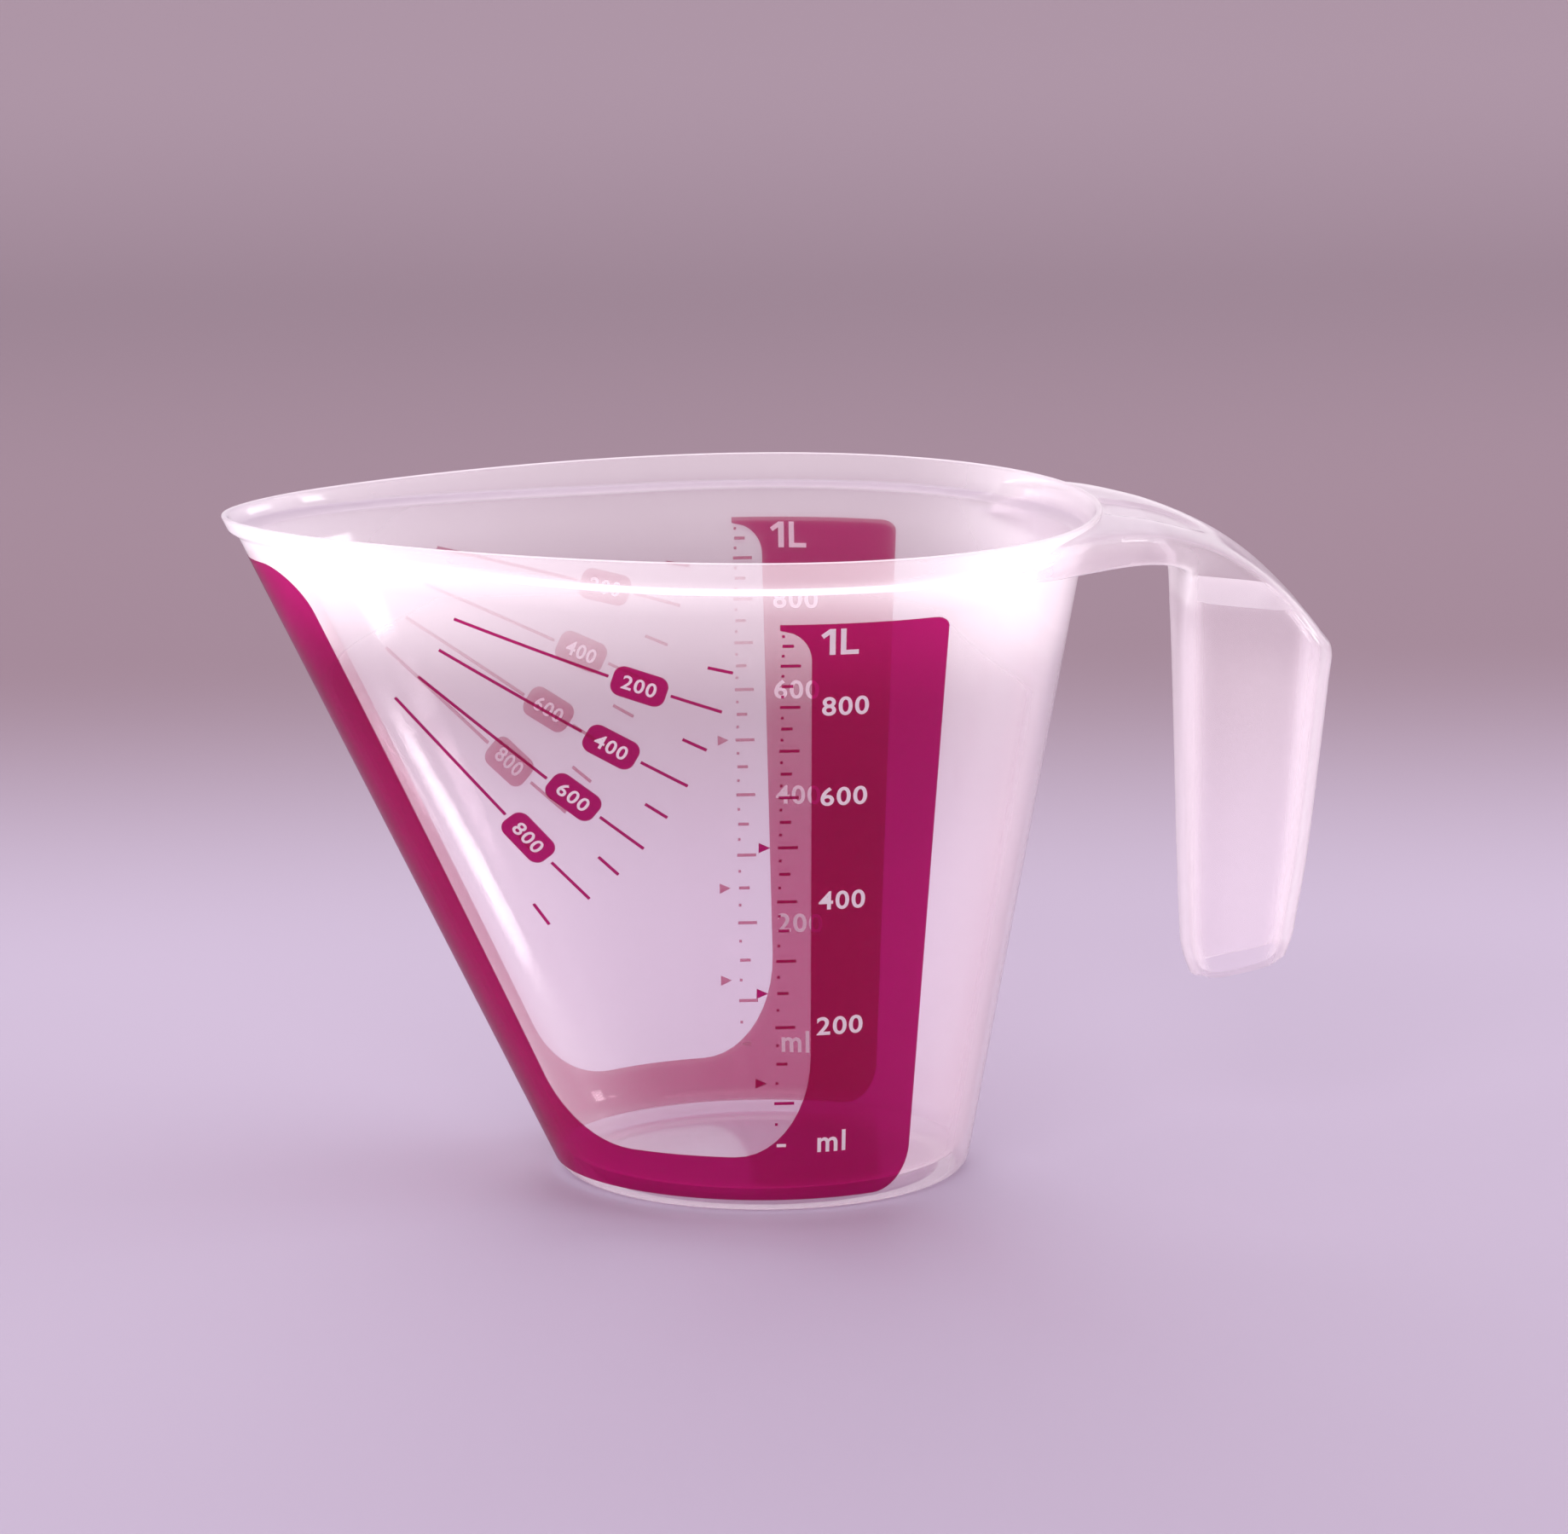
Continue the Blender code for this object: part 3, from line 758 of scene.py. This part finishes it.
WHITE_LIFT = INK_LIFT - 0.02
WHITE_THICKNESS = INK_THICKNESS + 0.05
STRIPS_ACROSS = 8
LETTER_WEIGHT, LETTER_SPACING = 0.018, 1.12  # how far the outline is moved out, and the space between
NUMERAL_X, NUMERAL_DROP = 7.5, 1.9  # the numerals' left end, and their foot below the mark
NUMERAL_WIDTH, NUMERAL_HEIGHT = 9.1, 3.8
PLATE_NUMERAL_WIDTH, PLATE_NUMERAL_HEIGHT = 6.6, 2.9
LITRE_BOTTOM, LITRE_HEIGHT = 114.9, 5.2
LITRE_ONE_X, LITRE_ONE_WIDTH = 8.75, 1.15
FLAG_CENTRE, FLAG_WIDTH, FLAG_LENGTH, FLAG_TURN = (8.2, 119.15), 0.9, 2.1, -0.96
LITRE_L_X, LITRE_L_WIDTH = 10.9, 3.5
UNIT_X, UNIT_BOTTOM, UNIT_WIDTH, UNIT_HEIGHT = 8.0, 12.4, 5.6, 4.4
LOWEST_MARK_X, LOWEST_MARK, LOWEST_MARK_HEIGHT = 0.0, 1.8, 14.1
LOWEST_MARK_LIFT = INK_LIFT + 0.02


def lettering(text, x, z, width, height, turn=0.0, centred=False):
    """The text's filled outline, fitted to a width and height, and laid on both sides of the curved wall.

    It is cut into upright strips first, so that its flat faces follow the wall's curve.
    """
    curve = bpy.data.curves.new("lettering", "FONT")
    curve.body = text
    curve.size = 1.0
    curve.offset = LETTER_WEIGHT
    curve.space_character = LETTER_SPACING
    curve.resolution_u = 6
    curve.extrude = 0.5
    maker = bpy.data.objects.new("lettering", curve)
    bpy.context.scene.collection.objects.link(maker)
    graph = bpy.context.evaluated_depsgraph_get()
    mesh = bpy.data.meshes.new_from_object(maker.evaluated_get(graph), depsgraph=graph)
    bpy.data.objects.remove(maker)
    flat = bmesh.new()
    flat.from_mesh(mesh)
    ends = [vertex.co.x for vertex in flat.verts]
    for cut in np.linspace(min(ends), max(ends), STRIPS_ACROSS + 1)[1:-1]:
        everything = flat.verts[:] + flat.edges[:] + flat.faces[:]
        bmesh.ops.bisect_plane(flat, geom=everything, plane_co=(cut, 0.0, 0.0), plane_no=(1.0, 0.0, 0.0))
    points = np.array([vertex.co for vertex in flat.verts])
    flat.verts.index_update()
    faces = [tuple(vertex.index for vertex in face.verts) for face in flat.faces]
    flat.free()
    low = points.min(axis=0)
    points = (points - low) / (points.max(axis=0) - low)
    offset = 0.5 if centred else 0.0
    across, up = (points[:, 0] - offset) * width, (points[:, 1] - offset) * height
    flat_x = x + across * np.cos(turn) - up * np.sin(turn)
    flat_z = z + across * np.sin(turn) + up * np.cos(turn)
    lift = WHITE_LIFT + points[:, 2] * WHITE_THICKNESS
    mirrored_faces = [face[::-1] for face in faces]
    return [
        (on_wall(flat_x, flat_z, side, lift), faces if side > 0 else mirrored_faces) for side in SIDES
    ]


# The litre's 1 is an upright with a slanted flag, because the font's own 1 is drawn wider.
white_parts = lettering("I", LITRE_ONE_X, LITRE_BOTTOM, LITRE_ONE_WIDTH, LITRE_HEIGHT)
white_parts += lettering("I", *FLAG_CENTRE, FLAG_WIDTH, FLAG_LENGTH, FLAG_TURN, centred=True)
white_parts += lettering("L", LITRE_L_X, LITRE_BOTTOM, LITRE_L_WIDTH, LITRE_HEIGHT)
for volume in (800, 600, 400, 200):
    bottom = mark_height(volume) - NUMERAL_DROP
    white_parts += lettering(str(volume), NUMERAL_X, bottom, NUMERAL_WIDTH, NUMERAL_HEIGHT)
white_parts += lettering("ml", UNIT_X, UNIT_BOTTOM, UNIT_WIDTH, UNIT_HEIGHT)
for name, centre, turn in plates:
    white_parts += lettering(name, *centre, PLATE_NUMERAL_WIDTH, PLATE_NUMERAL_HEIGHT, turn, centred=True)
lowest_mark = ((LOWEST_MARK_X, LOWEST_MARK_HEIGHT), (LOWEST_MARK_X + LOWEST_MARK, LOWEST_MARK_HEIGHT))
white_parts += bar(*lowest_mark, MARK_WIDTH, LOWEST_MARK_LIFT)

white_print = bpy.data.objects.new("white_print", mesh_of("white_print", *joined(white_parts)))
bpy.context.scene.collection.objects.link(white_print)
outward_faces(white_print.data)

# Opaque white ink: matt and dense, with some light coming through the thin layer from behind.
WHITE_SEE_THROUGH = 0.25

white_ink = new_material("opaque_white_ink")
lit_front = add(white_ink, "ShaderNodeBsdfDiffuse", {"Color": colour("#FFF6FB")})
lit_behind = add(white_ink, "ShaderNodeBsdfTranslucent", {"Color": colour("#FFF6FB")})
white = add(
    white_ink,
    "ShaderNodeMixShader",
    {0: WHITE_SEE_THROUGH, 1: lit_front.outputs[0], 2: lit_behind.outputs[0]},
)
output_of(white_ink, white)
finish_piece(white_print, white_ink)

# ---------------------------------------------------------------------------------------------------------
# The studio: a wide round floor of matt paper, darker beyond the jug and painted pale again far away, where
# painted light makes up for lamp light that falls off, soft boxes and a dim room for light, and the camera.
# ---------------------------------------------------------------------------------------------------------

FLOOR_RADII = (0.001, 0.5, 2.0, 9.0)  # metres
FLOOR_POINTS = 96


def floor_disc():
    """A round floor: rings of points at growing radii about the middle, with a closed middle."""
    turn = np.linspace(0.0, 2.0 * np.pi, FLOOR_POINTS, endpoint=False)
    radius = np.array(FLOOR_RADII)[:, None]
    points = np.stack([radius * np.cos(turn), radius * np.sin(turn), 0.0 * radius * turn], axis=-1)
    mesh = bpy.data.meshes.new("floor")
    faces = grid_faces(len(radius), len(turn), wrap=True)[:, ::-1].tolist() + [list(range(len(turn)))]
    mesh.from_pydata(points.reshape(-1, 3).tolist(), [], faces)
    return mesh


floor = bpy.data.objects.new("floor", floor_disc())
bpy.context.scene.collection.objects.link(floor)
outward_faces(floor.data)

# Matt paper whose colour blends through three shades over the distance behind the jug, in metres: darker
# beyond the jug, then pale again far away, which is painted light standing in for lamp light that falls
# off.
BLEND_LENGTH = 2.0
PAPER_AND_PAINTED_LIGHT_STOPS = ((0.08, "#A396AA"), (0.26, "#77626E"), (0.9, "#A08B99"))

paper = new_material("matt_paper")
floor_place = add(paper, "ShaderNodeTexCoord")
floor_point = add(paper, "ShaderNodeSeparateXYZ", {"Vector": floor_place.outputs["Object"]})
blend_share = add(
    paper, "ShaderNodeMapRange", {"Value": floor_point.outputs["Y"], "From Max": BLEND_LENGTH}
)
# The paper's colour over the distance, with its far pale stop as painted light.
paper_colour_and_painted_light = add(paper, "ShaderNodeValToRGB", {"Fac": blend_share.outputs[0]})
paper_colour_and_painted_light.color_ramp.interpolation = "EASE"
stops = paper_colour_and_painted_light.color_ramp.elements
stops.new(PAPER_AND_PAINTED_LIGHT_STOPS[-1][0])
for stop, (position, shade) in zip(stops, PAPER_AND_PAINTED_LIGHT_STOPS):
    stop.position, stop.color = position, colour(shade)
paper_shader = add(
    paper,
    "ShaderNodeBsdfPrincipled",
    {"Base Color": paper_colour_and_painted_light.outputs[0], "Roughness": 0.7, "Specular IOR Level": 0.1},
)
output_of(paper, paper_shader)
floor.data.materials.append(paper)

LIT_POINT = Vector((0.0, 0.0, 0.09))


def soft_box(name, location, width, height, power, beam=180.0, mirrored=True):
    """A rectangular area light that faces the jug, in metres and watts, with its beam's width in degrees.

    One that isn't mirrored lights the jug without showing in its gloss.
    """
    light = bpy.data.lights.new(name, "AREA")
    light.shape, light.size, light.size_y, light.energy = "RECTANGLE", width, height, power
    light.spread = np.radians(beam)
    lamp = bpy.data.objects.new(name, light)
    lamp.location = location
    lamp.rotation_euler = (LIT_POINT - Vector(location)).to_track_quat("-Z", "Y").to_euler()
    lamp.visible_glossy = mirrored
    bpy.context.scene.collection.objects.link(lamp)


soft_box("overhead", (0.0, -0.5, 1.5), 1.2, 0.8, 0.8)
soft_box("fill_front", (-0.4, -1.2, 0.95), 0.9, 0.5, 2.8, beam=90.0, mirrored=False)
soft_box("window_back", (0.0, 1.35, 0.60), 1.8, 0.4, 6.6, beam=80.0, mirrored=False)
soft_box("window_right", (1.80, 0.65, 0.55), 0.60, 0.20, 3.4)
soft_box("window_side", (1.93, -0.36, 0.52), 0.24, 0.26, 2.6)
soft_box("window_low", (2.0, 0.03, 0.44), 0.26, 0.16, 3.0)

# Light crosses many thin milky walls before it is spent.
bpy.context.scene.cycles.diffuse_bounces = 12
bpy.context.scene.cycles.max_bounces = 16
bpy.context.scene.cycles.transparent_max_bounces = 32

# The room is bright behind the jug and dim in front of it, which lights the milky walls from behind.
world = bpy.data.worlds.new("studio")
world.use_nodes = True
world.node_tree.nodes.clear()
direction = add(world, "ShaderNodeTexCoord")
towards = add(world, "ShaderNodeSeparateXYZ", {"Vector": direction.outputs["Generated"]})
brightness = add(
    world,
    "ShaderNodeMapRange",
    {"Value": towards.outputs["Y"], "From Min": -0.75, "From Max": 0.05, "To Min": 0.2, "To Max": 1.5},
    interpolation_type="SMOOTHSTEP",
)
sky = add(world, "ShaderNodeBackground", {"Color": colour("#F5EDF3"), "Strength": brightness.outputs[0]})
add(world, "ShaderNodeOutputWorld", {"Surface": sky.outputs[0]})
bpy.context.scene.world = world
bpy.context.scene.view_settings.view_transform = "Standard"

AZIMUTH, ELEVATION, DISTANCE = np.radians(-5.11), np.radians(12.43), 1.4904
AIM = np.array([0.00113, 0.0, 0.0810])
lens = bpy.data.cameras.new("camera")
lens.sensor_fit = "HORIZONTAL"
lens.sensor_width, lens.lens = 36.0, 172.3
lens.clip_start, lens.clip_end = 0.05, 50.0
camera = bpy.data.objects.new("camera", lens)
camera.location = AIM + DISTANCE * np.array(
    [np.sin(AZIMUTH) * np.cos(ELEVATION), -np.cos(AZIMUTH) * np.cos(ELEVATION), np.sin(ELEVATION)]
)
camera.rotation_euler = (np.pi / 2.0 - ELEVATION, 0.0, AZIMUTH)
bpy.context.scene.collection.objects.link(camera)
bpy.context.scene.camera = camera
